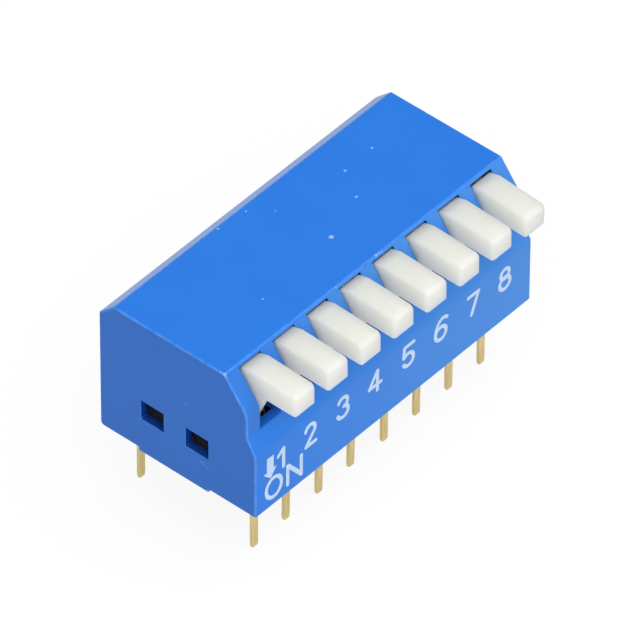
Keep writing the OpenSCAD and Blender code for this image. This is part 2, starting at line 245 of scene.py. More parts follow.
recess_shade_blue = shaded_recess_plastic("PBT with painted shade in slots and windows")
# The rear chamfer is glossier, and its lighter blue is a painted highlight.
polished_highlight_blue = moulded_blue("PBT polished by rails, with painted highlight", "#2C8CF5", "#3092F8", 0.28, 0.5)[0]
# Painted shade: the end walls are a darker, greyer blue.
end_shade_blue = moulded_blue("PBT with painted shade on the ends", "#246CCA", "#2A72D2")[0]
print("finishes:", recess_shade_blue.name, "and", polished_highlight_blue.name, "and", end_shade_blue.name)

# %% [markdown]
# The side with the levers is mixed with a pale blue as a painted reflection, which grows from
# the first lever to the last. On the slope, between the levers, a grey painted shade is mixed in
# as well.

# %% Fingered front
# The largest share of the painted reflection, and the place along X where it is reached, in mm.
PAINTED_REFLECTION, LAST = 0.14, 8.5


def front_with_painted_light(name):
    """The moulded blue, mixed with a pale painted reflection that grows along X, up to 0.14 at the
    last lever. From z = 5.5 mm upwards it grows nearly twice as fast, though no further, and a
    grey painted shade is mixed in that fades along X."""
    material, tree, place, shader, blue = moulded_blue(name)
    at = add(tree, "SeparateXYZ", {0: place})
    row = {"Value": at.outputs["X"], "From Min": -HALF_LENGTH * MM, "From Max": LAST * MM}
    along = add(tree, "MapRange", {**row, "To Min": 0.015, "To Max": PAINTED_REFLECTION})
    high = add(tree, "MapRange", {"Value": at.outputs["Z"], "From Min": 5.5 * MM,
                                  "From Max": 6.7 * MM})
    more = add(tree, "Math", {0: high.outputs["Result"], 1: 0.8, 2: 1.0}, operation="MULTIPLY_ADD")
    growing = add(tree, "Math", {0: along.outputs["Result"], 1: more.outputs[0]},
                  operation="MULTIPLY")
    reflection = add(tree, "Math", {0: growing.outputs[0], 1: PAINTED_REFLECTION}, operation="MINIMUM")
    # Painted reflection: a pale blue that grows along X.
    reflected = add(tree, "Mix", {"Factor": reflection.outputs[0], "A": blue, "B": linear("#91D7D9")},
               data_type="RGBA")
    # Painted shade: a grey on the slope that fades along X.
    fading = add(tree, "MapRange", {**row, "To Min": 0.17, "To Max": 0.05})
    painted_shade = add(tree, "Math", {0: fading.outputs["Result"], 1: high.outputs["Result"]},
                operation="MULTIPLY")
    shaded = add(tree, "Mix", {"Factor": painted_shade.outputs[0], "A": reflected.outputs["Result"],
                              "B": linear("#3A4A70")}, data_type="RGBA")
    tree.links.new(shaded.outputs["Result"], shader.inputs["Base Color"])
    return material


front_reflection_shade_blue = front_with_painted_light("PBT with painted reflection and shade")
print("finish:", front_reflection_shade_blue.name)

# %% [markdown]
# All rounded edges are painted a slightly lighter blue than the faces, as a painted highlight.
# Where the switches rub against each other in their tray, the long outer edges turn paler
# still: partly wear, as the plastic whitens where it is scratched, and partly a painted highlight.
# The line is broken, strong in places and gone in others, so a noise decides where it shows,
# and two masks keep it to the ends of the housing and its top edges. At a few places an edge is
# chipped, which shows almost white, and one chip has dirt in it.

# %% Rubbed edges
CHIPS = [
    (-10.66, -3.43, 8.92, 0.13, 0.9), (-10.66, -3.62, 8.83, 0.09, 0.8),
    (-10.66, -3.2, 8.93, 0.07, 0.7), (10.66, 1.5, 8.92, 0.09, 0.8),
    (0.9, -3.48, 8.93, 0.1, 0.9), (1.13, -3.47, 8.93, 0.06, 0.8),
    (1.3, -3.5, 8.92, 0.05, 0.6), (-2.2, -3.48, 8.93, 0.06, 0.6),
]
DIRT = [(-0.06, -3.56, 8.86, 0.1, 0.9), (0.12, -3.52, 8.9, 0.06, 0.8)]


def rubbed_and_highlit_edges(name):
    """A lighter moulded blue as a painted highlight on rounded edges, whitened by a noise of 0.5 mm
    where |x| > 10.5 mm or, less so, where z > 8.8 mm, partly as wear and partly as painted
    highlight, with chips and dirt."""
    # The lighter blues are a painted highlight on every rounded edge.
    material, tree, place, shader, blue = moulded_blue(name, "#2880EA", "#2E88F0", 0.5)
    at = add(tree, "SeparateXYZ", {0: place})
    off_middle = add(tree, "Math", {0: at.outputs["X"]}, operation="ABSOLUTE")
    on_end = add(tree, "Math", {0: off_middle.outputs[0], 1: 10.5 * MM}, operation="GREATER_THAN")
    end_wear_and_highlight = add(tree, "Math", {0: on_end.outputs[0], 1: 0.22}, operation="MULTIPLY")
    on_top = add(tree, "Math", {0: at.outputs["Z"], 1: 8.8 * MM}, operation="GREATER_THAN")
    top_wear_and_highlight = add(tree, "Math", {0: on_top.outputs[0], 1: 0.12}, operation="MULTIPLY")
    where = add(tree, "Math", {0: end_wear_and_highlight.outputs[0], 1: top_wear_and_highlight.outputs[0]},
                operation="MAXIMUM")
    breaks = add(tree, "TexNoise", {"Vector": place, "Scale": 1000 / 0.5, "Detail": 4,
                                    "Roughness": 0.7})
    shown = add(tree, "MapRange", {"Value": breaks.outputs["Fac"], "From Min": 0.35,
                                   "From Max": 0.65})
    amount = add(tree, "Math", {0: shown.outputs["Result"], 1: where.outputs[0]},
                 operation="MULTIPLY")
    # Whitening that is partly wear and partly a painted highlight.
    worn = add(tree, "Mix", {"Factor": amount.outputs[0], "A": blue, "B": linear("#9CC8FB")},
               data_type="RGBA")
    chipped = add(tree, "Mix", {"Factor": spots(tree, place, CHIPS), "A": worn.outputs["Result"],
                                "B": linear("#8FBAF3")}, data_type="RGBA")
    dirty = add(tree, "Mix", {"Factor": spots(tree, place, DIRT), "A": chipped.outputs["Result"],
                              "B": linear("#4A3A4E")}, data_type="RGBA")
    tree.links.new(dirty.outputs["Result"], shader.inputs["Base Color"])
    return material


rubbed_highlight_blue = rubbed_and_highlit_edges("PBT whitened by rubbing, with painted highlight")
print("finish:", rubbed_highlight_blue.name)

# %% [markdown]
# ## Black PBT
# The base that closes the housing from below is the same plastic with carbon black in it. It
# is seen between the pins and, through the slots and windows, as a dark inside. It is duller
# than the housing, and its rounded edges are painted a dark grey as a painted highlight.

# %% Base finish
def moulded_black(name, dark, light):
    """Dull black plastic: two close tones mixed by small clouds, and the grain as relief."""
    surface = {"Roughness": 0.6, "IOR": PBT_IOR, "Specular IOR Level": 0.1}
    material, tree, place, shader = finish(name, surface)
    clouds = add(tree, "TexNoise", {"Vector": place, "Scale": 1000 / 0.6, "Detail": 4,
                                    "Roughness": 0.6})
    tones = add(tree, "Mix", {"Factor": clouds.outputs["Fac"], "A": linear(dark),
                              "B": linear(light)}, data_type="RGBA")
    grain = add(tree, "TexNoise", {"Vector": place, "Scale": 1000 / GRAIN, "Detail": 2})
    relief = add(tree, "Bump", {"Height": grain.outputs["Fac"], "Strength": 0.15,
                                "Distance": RELIEF * MM})
    tree.links.new(tones.outputs["Result"], shader.inputs["Base Color"])
    tree.links.new(relief.outputs["Normal"], shader.inputs["Normal"])
    return material


pbt_black = moulded_black("PBT moulded black", "#10131C", "#1C2029")
# Painted highlight: the base's rounded edges are a dark grey.
black_edge_highlight = moulded_black("PBT black with painted edge highlight", "#343A4C", "#666E8C")
print("finishes:", pbt_black.name, "and", black_edge_highlight.name)

# %% [markdown]
# ## White nylon
# The levers are nylon, which slides well on the blue plastic without grease. Nylon lets light
# in: it enters the top of a lever and leaves through its sides, so the shaded side glows and
# the edges look soft. That is subsurface scattering, here over about three millimetres, and a
# little further for red light than for blue.

# %% Lever finish
nylon, tree, place, shader = finish("Nylon moulded natural white", {
    "Roughness": 0.5, "IOR": 1.53, "Specular IOR Level": 0.35,
    "Subsurface Weight": 1.0, "Subsurface Radius": (1, 0.92, 0.85), "Subsurface Scale": 3 * MM,
})
clouds = add(tree, "TexNoise", {"Vector": place, "Scale": 1000 / 1.5, "Detail": 3})
whites = add(tree, "Mix", {"Factor": clouds.outputs["Fac"], "A": linear("#EDEADA"),
                           "B": linear("#F2EFDF")}, data_type="RGBA")
grain = add(tree, "TexNoise", {"Vector": place, "Scale": 1000 / 0.2, "Detail": 2})
relief = add(tree, "Bump", {"Height": grain.outputs["Fac"], "Strength": 0.05,
                            "Distance": RELIEF * MM})
tree.links.new(whites.outputs["Result"], shader.inputs["Base Color"])
tree.links.new(relief.outputs["Normal"], shader.inputs["Normal"])
print("finish:", nylon.name)

# %% [markdown]
# ## Gold-flashed strip
# The pins and bridges are punched from thin bronze strip and plated with a trace of gold. The
# plating is satin, and the rolled strip under it shows as fine streaks along the pin. They are
# drawn by a noise that is stretched along Z.

# %% Contact finish
# Width of a streak in mm, and the share of its change that is left along Z.
STREAK, STRETCH = 0.12, 0.12
gold, tree, place, shader = finish("Gold flash on rolled bronze", {
    "Metallic": 1, "Roughness": 0.38,
})
stretched = add(tree, "Mapping", {"Vector": place, "Scale": (1, 1, STRETCH)})
streaks = add(tree, "TexNoise", {"Vector": stretched.outputs["Vector"], "Scale": 1000 / STREAK,
                                 "Detail": 3})
golds = add(tree, "Mix", {"Factor": streaks.outputs["Fac"], "A": linear("#CFAE67"),
                          "B": linear("#F6E7B0")}, data_type="RGBA")
relief = add(tree, "Bump", {"Height": streaks.outputs["Fac"], "Strength": 0.15,
                            "Distance": RELIEF * MM})
tree.links.new(golds.outputs["Result"], shader.inputs["Base Color"])
tree.links.new(relief.outputs["Normal"], shader.inputs["Normal"])
print("finish:", gold.name)

# %% [markdown]
# The clips on the levers slide under the contacts, so they are not plated. Bare bronze goes
# brown in the air.

# %% Clip finish
bronze, tree, place, shader = finish("Bare bronze gone brown", {"Metallic": 1, "Roughness": 0.45})
stains = add(tree, "TexNoise", {"Vector": place, "Scale": 1000 / 0.6, "Detail": 4})
browns = add(tree, "Mix", {"Factor": stains.outputs["Fac"], "A": linear("#4A3B28"),
                           "B": linear("#7A6242")}, data_type="RGBA")
tree.links.new(browns.outputs["Result"], shader.inputs["Base Color"])
print("finish:", bronze.name)

# %% [markdown]
# ## Printing ink
# Pad-printed ink is thin, so a little of the blue shows through it, and its film breaks up
# slightly where the rubber pad let go.

# %% Ink finish
ink, tree, place, shader = finish("Pad-printed white ink", {"Roughness": 0.6})
film = add(tree, "TexNoise", {"Vector": place, "Scale": 1000 / 0.25, "Detail": 3})
tones = add(tree, "Mix", {"Factor": film.outputs["Fac"], "A": linear("#BCD8FB"),
                          "B": linear("#D6E9FF")}, data_type="RGBA")
tree.links.new(tones.outputs["Result"], shader.inputs["Base Color"])
print("finish:", ink.name)

# %% [markdown]
# ## Making a piece
# Every piece is placed by one function, which names the body that it rides on and the CAD
# pieces that it stands for. A second one makes the mesh first, from points in millimetres in
# the frame of the CAD model, so the object itself stays at the origin.

# %% Placing a piece
def placed(name, mesh, body, materials, replaced=()):
    """A smooth piece with a mesh, in the first of its materials, riding on a body."""
    for material in materials:
        mesh.materials.append(material)
    mesh.polygons.foreach_set("material_index", np.zeros(len(mesh.polygons), int))
    mesh.polygons.foreach_set("use_smooth", np.ones(len(mesh.polygons), bool))
    piece = bpy.data.objects.new(name, mesh)
    bpy.context.collection.objects.link(piece)
    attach(piece, body)
    if replaced:
        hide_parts(*replaced)
    return piece


def place_piece(name, points, faces, body, materials, replaced=()):
    """Makes a mesh from points in mm and faces, and places it."""
    mesh = bpy.data.meshes.new(name)
    mesh.from_pydata((np.asarray(points) * MM).tolist(), [], faces)
    return placed(name, mesh, body, materials, replaced)


print("CAD pieces that can be replaced:", len(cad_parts))

# %% [markdown]
# ## Rounding the CAD pieces
# The housing, the base and the metal strips already have the right shape in CAD, but their
# edges are knife sharp, and a real edge always catches a thin line of light. A copy of each is
# welded, because the CAD mesh is loose triangles, merged into flat faces, and its sharp edges
# are bevelled. The rounded strips may take a finish of their own.

# %% Merged and softened copies
# Points closer than this many mm are one, and edges that turn by more than this angle are sharp.
WELD, SHARP = 0.001, np.radians(35)
# Flat walls across X that are larger than this get a border.
WALL_AREA = 10 * MM ** 2


def merged(node, border):
    """A CAD piece's mesh with its doubles and flat seams merged. With a border, flat walls
    across X get a strip of that width all round, which keeps their middle clear of the
    rounding."""
    work = bmesh.new()
    work.from_mesh(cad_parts[node].data)
    bmesh.ops.remove_doubles(work, verts=work.verts, dist=WELD * MM)
    bmesh.ops.dissolve_limit(work, angle_limit=np.radians(0.5), verts=work.verts, edges=work.edges)
    work.normal_update()
    if border:
        walls = [face for face in work.faces
                 if abs(face.normal.x) > 0.99 and face.calc_area() > WALL_AREA]
        bmesh.ops.inset_region(work, faces=walls, thickness=border * MM, use_even_offset=True,
                               use_boundary=True)
        work.normal_update()
    return work


def softened(node, name, body, materials, radius, share=None, border=0):
    """A CAD piece with rounded edges. Each edge that turns by more than the sharp angle gets the
    radius times its share, which share(ends) gives for all of them at once."""
    work = merged(node, border)
    weight = work.edges.layers.float.new("bevel_weight_edge")
    edges = [edge for edge in work.edges
             if len(edge.link_faces) == 2 and edge.calc_face_angle() > SHARP]
    ends = np.array([[vert.co for vert in edge.verts] for edge in edges]) / MM
    for edge, amount in zip(edges, np.ones(len(edges)) if share is None else share(ends)):
        edge[weight] = amount
    mesh = bpy.data.meshes.new(name)
    work.to_mesh(mesh)
    work.free()
    piece = placed(name, mesh, body, materials, [node])
    rounding = piece.modifiers.new("rounding", "BEVEL")
    rounding.width = radius * MM
    rounding.segments = 3
    rounding.limit_method = "WEIGHT"
    rounding.use_clamp_overlap = False
    rounding.material = len(materials) - 1
    rounding.face_strength_mode = "FSTR_AFFECTED"
    shading = piece.modifiers.new("flat faces stay flat", "WEIGHTED_NORMAL")
    shading.weight = 100
    shading.keep_sharp = True
    shading.use_face_influence = True
    return piece


print("edges that turn by more than", round(np.degrees(SHARP)), "degrees are rounded")

# %% [markdown]
# ## The housing
# Its long outer edges are the roundest, as the two halves of the mould leave them, while the
# slots and the windows are cut by inserts of the mould and stay crisp.

# %% Housing
# Radius of the roundest edges, width of the border on flat walls, and how close to the outline
# a place counts as lying on it, in mm.
EDGE, BORDER, NEAR = 0.09, 0.11, 0.06
OUTLINE = np.array([
    (FRONT, 0.22), (FRONT, 4.38), (-4.98, 5.43), (-4.97, 6.56), (-4.73, 7.28), (-3.5, 8.9),
    (-3.38, TOP), (3.87, TOP), (4.9, 8.03), (4.92, 0.4), (4.7, 0.22),
])


def outside(at):
    """True for places on the ends, on the underside, or less than 0.06 mm from the outline of
    the housing: the distance from its runs, each held between its two ends. The walls of slots
    and windows are left."""
    start, run = OUTLINE[:-1], np.diff(OUTLINE, axis=0)
    to_place = at[:, None, 1:] - start
    share = np.clip((to_place * run).sum(-1) / (run * run).sum(-1), 0, 1)
    apart = np.linalg.norm(to_place - share[..., None] * run, axis=-1).min(1)
    return (np.abs(at[:, 0]) > HALF_LENGTH - NEAR) | (at[:, 2] < 0.3) | (apart < NEAR)


def housing_share(ends):
    """Full rounding on the outline of both ends, a third of it on the rims of slots and windows,
    and a tenth inside them. The windows lie between y = -4 and 4 mm and z = 2 and 4 mm."""
    on_end = (np.abs(ends[..., 0]) > HALF_LENGTH - 0.01).all(1)
    middle = ends.mean(1)
    window = (np.abs(middle[:, 1]) < 4) & (middle[:, 2] > 2) & (middle[:, 2] < 4)
    return np.select([on_end & ~window, outside(middle)], [1.0, 0.35], 0.1)


blues = [pbt_blue, front_reflection_shade_blue, end_shade_blue, polished_highlight_blue, recess_shade_blue, rubbed_highlight_blue]
housing = softened("housing", "housing_moulding", CASE, blues, EDGE, housing_share,
                   BORDER)
print("housing:", len(housing.data.polygons), "faces before rounding")

# %% [markdown]
# Each face of the housing takes the finish of its side. The rounded long edges at the top are
# already in the CAD piece, as narrow faces that look between upwards and forwards, or between
# upwards and backwards.

# %% Finishes of the housing's faces
def of_faces(mesh, name, width):
    """A value or a vector of every face of a mesh, as an array."""
    values = np.empty((len(mesh.polygons), width))
    mesh.polygons.foreach_get(name, values.ravel())
    return values.squeeze()


normal = of_faces(housing.data, "normal", 3)
middle = of_faces(housing.data, "center", 3) / MM
narrow = of_faces(housing.data, "area", 1) < MM ** 2
tilted = (np.abs(normal[:, 0]) < 0.01) & (normal[:, 2] > 0.65) & (normal[:, 2] < 0.999)
# Faces in slots and windows take painted shade, the ends a painted darker blue, the front a painted
# reflection and shade, and the rear chamfer a painted highlight.
kinds = [
    (rubbed_highlight_blue, tilted & narrow & (middle[:, 2] > TOP - 0.12)),
    (recess_shade_blue, ~outside(middle)),
    (end_shade_blue, np.abs(normal[:, 0]) > 0.9),
    (front_reflection_shade_blue, normal[:, 1] < -0.3),
    (polished_highlight_blue, (normal[:, 1] > 0.3) & (normal[:, 2] > 0.3)),
]
index = np.select([kind for _, kind in kinds], [blues.index(blue) for blue, _ in kinds], 0)
housing.data.polygons.foreach_set("material_index", index)
print("faces of each kind:", [int(kind.sum()) for _, kind in kinds])

# %% [markdown]
# The pins of a real switch are never quite straight, because they are thin and get knocked in
# the tray. Each leans up to a tenth of a millimetre forwards or backwards at its tip. In CAD
# the tips are tapered, so that they are easy to fit, but the strip is sheared off almost
# square, so here they are widened until only small cut corners are left.

# %% Base and stamped strips
# How far the tip of each pin leans backwards, in mm. Below zero it leans forwards.
FRONT_BEND = [-0.04, 0.05, 0.05, 0.1, 0.03, 0.03, 0.02, 0]
REAR_BEND = [0, 0.03, -0.04, 0.02, 0.06, -0.02, 0.03, -0.03]
# How far a pin reaches down, half its width, half widths of its tip in CAD and as sheared, and
# the height over which the tip widens, in mm.
PIN_LENGTH, PIN_HALF, TAPERED, SHEARED, TIP_HEIGHT = 4.07, 0.225, 0.1, 0.19, 0.3


def slot_x(i):
    """Middle of a slot along the row, counted from 1."""
    return (i - (POSITIONS + 1) / 2) * PITCH


def squared(points, middle):
    """Widens the tip of a pin. At a share t of its height the half width is tip + t * (half
    width of the pin - tip), and the tip grows from tapered to sheared."""
    t = np.clip((points[:, 2] + PIN_LENGTH) / TIP_HEIGHT, 0, 1)
    wider = (SHEARED + (PIN_HALF - SHEARED) * t) / (TAPERED + (PIN_HALF - TAPERED) * t)
    points[:, 0] = middle + (points[:, 0] - middle) * wider
    return points


def bent(points, amount, start=0.5, length=4.2):
    """Shears a pin: below the height start, y grows evenly over the length, by the amount."""
    points[:, 1] += amount * np.clip((start - points[:, 2]) / length, 0, 1)
    return points


def pin(node, name, middle, lean):
    """A strip with rounded edges, whose pin has a squared tip and leans."""
    strip = softened(node, name, CASE, [gold], 0.03)
    points = np.empty((len(strip.data.vertices), 3))
    strip.data.vertices.foreach_get("co", points.ravel())
    points = bent(squared(points / MM, middle), lean) * MM
    strip.data.vertices.foreach_set("co", points.ravel())


softened("base", "base_moulding", CASE, [pbt_black, black_edge_highlight], 0.03)
for i in range(1, POSITIONS + 1):
    pin(f"front_terminal_{i}", f"front_strip_{i}", slot_x(i), FRONT_BEND[i - 1])
    pin(f"rear_terminal_{i}", f"rear_strip_{i}", slot_x(i), REAR_BEND[i - 1])
    softened(f"bridge_{i}", f"bridge_clip_{i}", f"rocker_{i}", [bronze], 0.02)
print("strips:", 3 * POSITIONS)

# %% [markdown]
# ## The levers
# Each lever is one moulding: a paddle that a fingertip pushes, a hub that turns in the housing,
# and an arm below it that carries the contact. To keep the moulding thin everywhere, only a
# cheek on its left side has the neck and the full round front of the hub, and the rest is cut
# back to a smaller core. Seen from the side, core and cheek are outlines of straight runs,
# corners and arcs about the pivot. Each is written as a chain of points with the radius that
# rounds each point, and worked out anew for every depth inwards, which keeps its corners
# clean. Both chains have as many points, so that a skin can step from one to the other.
# Lengths are in mm from the pivot.

# %% Chain of points round a lever
PIVOT = np.array([-3.2, 6.97])
# Radii of the cheek's hub, of the core's heel and of the arm's foot.
HUB, HEEL, FOOT = 1.69, 1.15, 2.73
# The width of the arm, and the degrees by which it leans forwards.
ARM, LEAN = 0.8, 10
# Corners of the paddle, from its rear over its top to its tip, and of the neck under it.
REAR, CREST, TIP_TOP, TIP_LOW = (-0.35, 1.77), (-1.0, 1.97), (-4.03, 1.88), (-4.05, 0.55)
NECK = (-2.08, 0.55)
# This radius stands for a corner with no arc, whose points are spread along its next side.
SPREAD = 0.001


def arc(radius, start, stop, count):
    """Points on a circle about the pivot, radius times (cos, sin), with angles in degrees."""
    turn = np.radians(np.linspace(start, stop, count))
    return radius * np.stack([np.cos(turn), np.sin(turn)], 1)


def lever_chain(cheek):
    """The corners of a core or a cheek, anticlockwise, and how round each is. An inner corner
    has a radius below zero, and points of arcs have none."""
    down = 270 - LEAN
    beside = {r: np.degrees(np.arcsin(ARM / 2 / r)) for r in (HUB, FOOT, HEEL)}
    rear = np.degrees(np.arctan2(REAR[1], REAR[0]))
    if cheek:
        meet = np.degrees(np.arctan2(NECK[1], NECK[0]) + np.arccos(HUB / np.hypot(*NECK)))
        front = [([NECK], -0.1), (arc(HUB, meet, down - beside[HUB], 24), 0)]
    else:
        meet = 180 - np.degrees(np.arcsin(NECK[1] / HEEL))
        front = [([NECK], SPREAD), (arc(HEEL, meet, down - beside[HEEL], 24), 0)]
    parts = [
        ([REAR], 0.04), ([CREST], 0.4), ([TIP_TOP], 0.3), ([TIP_LOW], 0.1), *front,
        (arc(FOOT, down - beside[FOOT], down + beside[FOOT], 3), 0),
        (arc(HEEL, down + beside[HEEL], 360 + rear, 60), 0),
    ]
    points = np.concatenate([np.asarray(part, float) for part, _ in parts])
    radii = np.concatenate([np.full(len(part), radius, float) for part, radius in parts])
    return points, radii


print("points in the chains:", len(lever_chain(False)[0]), "and", len(lever_chain(True)[0]))

# %% [markdown]
# Two steps turn a chain into an outline at a depth. First every point moves inwards so that
# both its sides move by the depth. Then each corner is replaced by points of the arc that
# touches both sides: an outer corner gets sharper as it moves in, an inner corner rounder.

# %% Outline at a depth
# The radius that every outer corner keeps, in mm, and the share for sides that move in less.
SHARPEST, THIRD = 0.02, 0.33


def moved_in(points, depth):
    """Points of a closed chain after both sides of each moved in by its depth: along the sum of
    the two inward normals, divided by one plus their product. A depth is given for y and z."""
    ahead = np.roll(points, -1, 0) - points
    ahead /= np.linalg.norm(ahead, axis=1, keepdims=True)
    inward = np.stack([-ahead[:, 1], ahead[:, 0]], 1)
    before = np.roll(inward, 1, 0)
    return points + depth * (inward + before) / (1 + (inward * before).sum(1, keepdims=True))


def corner(before, point, after, radius, steps=9):
    """Points of the arc that rounds a corner. With unit vectors u and v along its sides and half
    its angle h, the arc's centre is the corner + radius / sin(h) along u + v, and it touches
    the sides at radius / tan(h) from the corner. With no arc they are spread over nine tenths
    of the next side."""
    share = np.linspace(0, 1, steps)[:, None]
    if radius <= SPREAD:
        return point + share * (after - point) * 0.9
    u = (before - point) / np.linalg.norm(before - point)
    v = (after - point) / np.linalg.norm(after - point)
    half = np.arccos(np.clip(u @ v, -1, 1)) / 2
    centre = point + (u + v) / np.linalg.norm(u + v) * radius / np.sin(half)
    start, stop = point + u * radius / np.tan(half), point + v * radius / np.tan(half)
    spoke = (start - centre) * (1 - share) + (stop - centre) * share
    return centre + radius * spoke / np.linalg.norm(spoke, axis=1, keepdims=True)


def rounded(points, radii):
    """A closed chain with each corner that has a radius replaced by the points of its arc."""
    sides = zip(np.roll(points, 1, 0), points, np.roll(points, -1, 0), radii)
    return np.concatenate([corner(*side) if side[3] else side[1][None] for side in sides])


def outline_at(depth, cheek):
    """An outline at a depth: radii shrink with it at outer corners, and grow at inner ones. On
    the cheek, the rear corner moves in by only a third, as the slot's lip runs close along it,
    and the paddle's underside rises by only a third, as the mould is sharper there."""
    chain, radii = lever_chain(cheek)
    rear, underside = 0, [3, 4]
    share = np.ones((len(chain), 2))
    share[rear] = THIRD if cheek else 1
    share[underside, 1] = THIRD
    depth = depth * share
    size = np.where(radii > SPREAD, np.maximum(radii - depth[:, 1], SHARPEST), radii)
    size = np.where(radii < 0, depth[:, 1] - radii, size)
    return rounded(moved_in(chain, depth), size)


def area(points):
    """Area of a closed outline, above zero if it runs anticlockwise."""
    after = np.roll(points, -1, 0)
    return (points[:, 0] * after[:, 1] - points[:, 1] * after[:, 0]).sum() / 2


print("cheek and core, mm2:", [round(area(outline_at(0, cheek)), 2) for cheek in (True, False)])

# %% [markdown]
# Nylon shrinks as it cools, so a moulded rim is never sharp. The outline is repeated as rings
# across the lever's width, and towards both sides they follow a quarter circle inwards. Where
# the cheek ends, the skin steps from its outline to the core's. The trunnions, the two stubs
# that the lever turns on, are a profile turned about the axis.

# %% Rings of a lever
# Widths of a lever and its cheek, radii of its left and right rims, and the trunnions' reach
# and radius, in mm.
WIDTH, CHEEK = 1.49, 0.22
RIM, RIGHT_RIM = 0.17, 0.1
REACH, STUB = 1.2, 0.6


def ring(outline, x):
    """An outline's points (y, z) at a place x across the lever."""
    return np.insert(outline, 0, x, axis=1)


def lever_rings(steps=7, flat=0.04):
    """Rings (x, y, z) from left to right. At angle t of the quarter circle an outline lies at
    depth rim * (1 - sin t) and rim * (1 - cos t) in from the side. One flat ring more at both
    ends keeps the shading of the sides flat. The right rim is the sharper one."""
    t = np.linspace(0, np.pi / 2, steps)
    sides = []
    for rim, cheek, side in ((RIM, True, -1), (RIGHT_RIM, False, 1)):
        depths = np.append(rim + flat, rim * (1 - np.sin(t)))
        places = side * (WIDTH / 2 - np.append(0, rim * (1 - np.cos(t))))
        sides.append([ring(outline_at(d, cheek), x) for d, x in zip(depths, places)])
    step = [ring(outline_at(0, cheek), CHEEK - WIDTH / 2) for cheek in (True, False)]
    return np.array(sides[0] + step + sides[1][::-1])


def trunnion_rings(edge=0.05, around=40):
    """Rings of a shaft along X, from left to right. Over the last 0.05 mm the radius rounds off:
    at angle t of the quarter circle, the ring lies at reach - edge * (1 - cos t) and its radius
    is stub - edge * (1 - sin t)."""
    t = np.linspace(0, np.pi / 2, 5)
    x = np.append(REACH, REACH - edge * (1 - np.cos(t)))
    r = np.append(STUB - 2 * edge, STUB - edge * (1 - np.sin(t)))
    x, r = np.append(x, -x[::-1])[:, None], np.append(r, r[::-1])[:, None]
    turn = np.linspace(0, 2 * np.pi, around, endpoint=False)
    return np.stack([np.broadcast_to(-x, (len(x), around)), r * np.cos(turn), r * np.sin(turn)], -1)


def skin(rings, first=0):
    """Faces of a stack of rings: a quad between each four neighbours, and a lid at each end."""
    rows, count = rings.shape[:2]
    number = first + np.arange(rows * count).reshape(rows, count)
    ahead = np.roll(number, -1, 1)
    quads = np.stack([number[:-1], ahead[:-1], ahead[1:], number[1:]], -1).reshape(-1, 4)
    return [*quads.tolist(), number[0][::-1].tolist(), number[-1].tolist()]


body, shaft = lever_rings(), trunnion_rings()
lever_points = np.concatenate([body.reshape(-1, 3), shaft.reshape(-1, 3)])
lever_faces = skin(body) + skin(shaft, body.shape[0] * body.shape[1])
print("a lever:", len(lever_points), "points,", len(lever_faces), "faces")

# %% [markdown]
# The eight levers never stand quite alike. Each has been set by hand, so most rest a fraction
# of a degree below their stop and a few hundredths of a millimetre off the middle of their
# slots. The last one has sunk the furthest, by two and a half degrees.

# %% Levers in their slots
# How far each lever is turned down, in degrees, and moved along the row, in mm.
TURN = [0, 0, 0.5, 0.3, 0.6, 0.6, 0.6, 2.5]
SHIFT = [0.01, 0, -0.03, -0.04, -0.03, -0.03, -0.04, -0.04]


def turned(points, angle):
    """Points turned about the X axis: y cos a - z sin a, and y sin a + z cos a."""
    about_x = [[1, 0, 0], [0, np.cos(angle), -np.sin(angle)], [0, np.sin(angle), np.cos(angle)]]
    return points @ np.array(about_x).T


def welded(piece):
    """Merges the points that core and cheek share along the paddle, with no face left there."""
    work = bmesh.new()
    work.from_mesh(piece.data)
    bmesh.ops.remove_doubles(work, verts=work.verts, dist=1e-8)
    work.to_mesh(piece.data)
    work.free()


for i in range(1, POSITIONS + 1):
    points = turned(lever_points, np.radians(TURN[i - 1])) + [slot_x(i) + SHIFT[i - 1], *PIVOT]
    lever = place_piece(f"lever_moulding_{i}", points, lever_faces, f"rocker_{i}",
                        [nylon], [f"lever_{i}"])
    welded(lever)
    lever.data.set_sharp_from_angle(angle=SHARP)
print("levers:", POSITIONS)

# %% [markdown]
# ## The print
# A rubber pad presses white ink on the front face: an arrow and ON for the way that closes a
# contact, and the number of each lever. Every sign is a few strokes of one width with round
# ends, so a stroke is a ribbon carried along a path. The film is a hundredth of a millimetre
# thick, and where two strokes cross one lies a trace higher, so that they never flicker.

# %% Ribbons
# Thickness of the film, width of a stroke, and the trace between strokes that cross, in mm.
INK, STROKE, TRACE = 0.012, 0.245, 0.0008


def stations(length, half, closed):
    """Places along a path and the share of the width there. An open path goes on by half a
    width at both ends, where at distance s from its tip, in half widths, the share is
    sqrt(1 - (1 - s)^2), which is a half circle. A closed path has its full width all round."""
    if closed:
        return np.linspace(0, length, 49), np.ones(49)
    cap = half * (1 - np.cos(np.linspace(0, np.pi / 2, 7)))
    inner = np.linspace(0, length, max(8, int(length / 0.05)))[1:-1]
    at = np.concatenate([cap - half, inner, length + half - cap[::-1]])
    near = np.minimum(at + half, length + half - at) / half
    return at, np.sqrt(np.clip(1 - (1 - np.clip(near, 0, 1)) ** 2, 0.0004, 1))


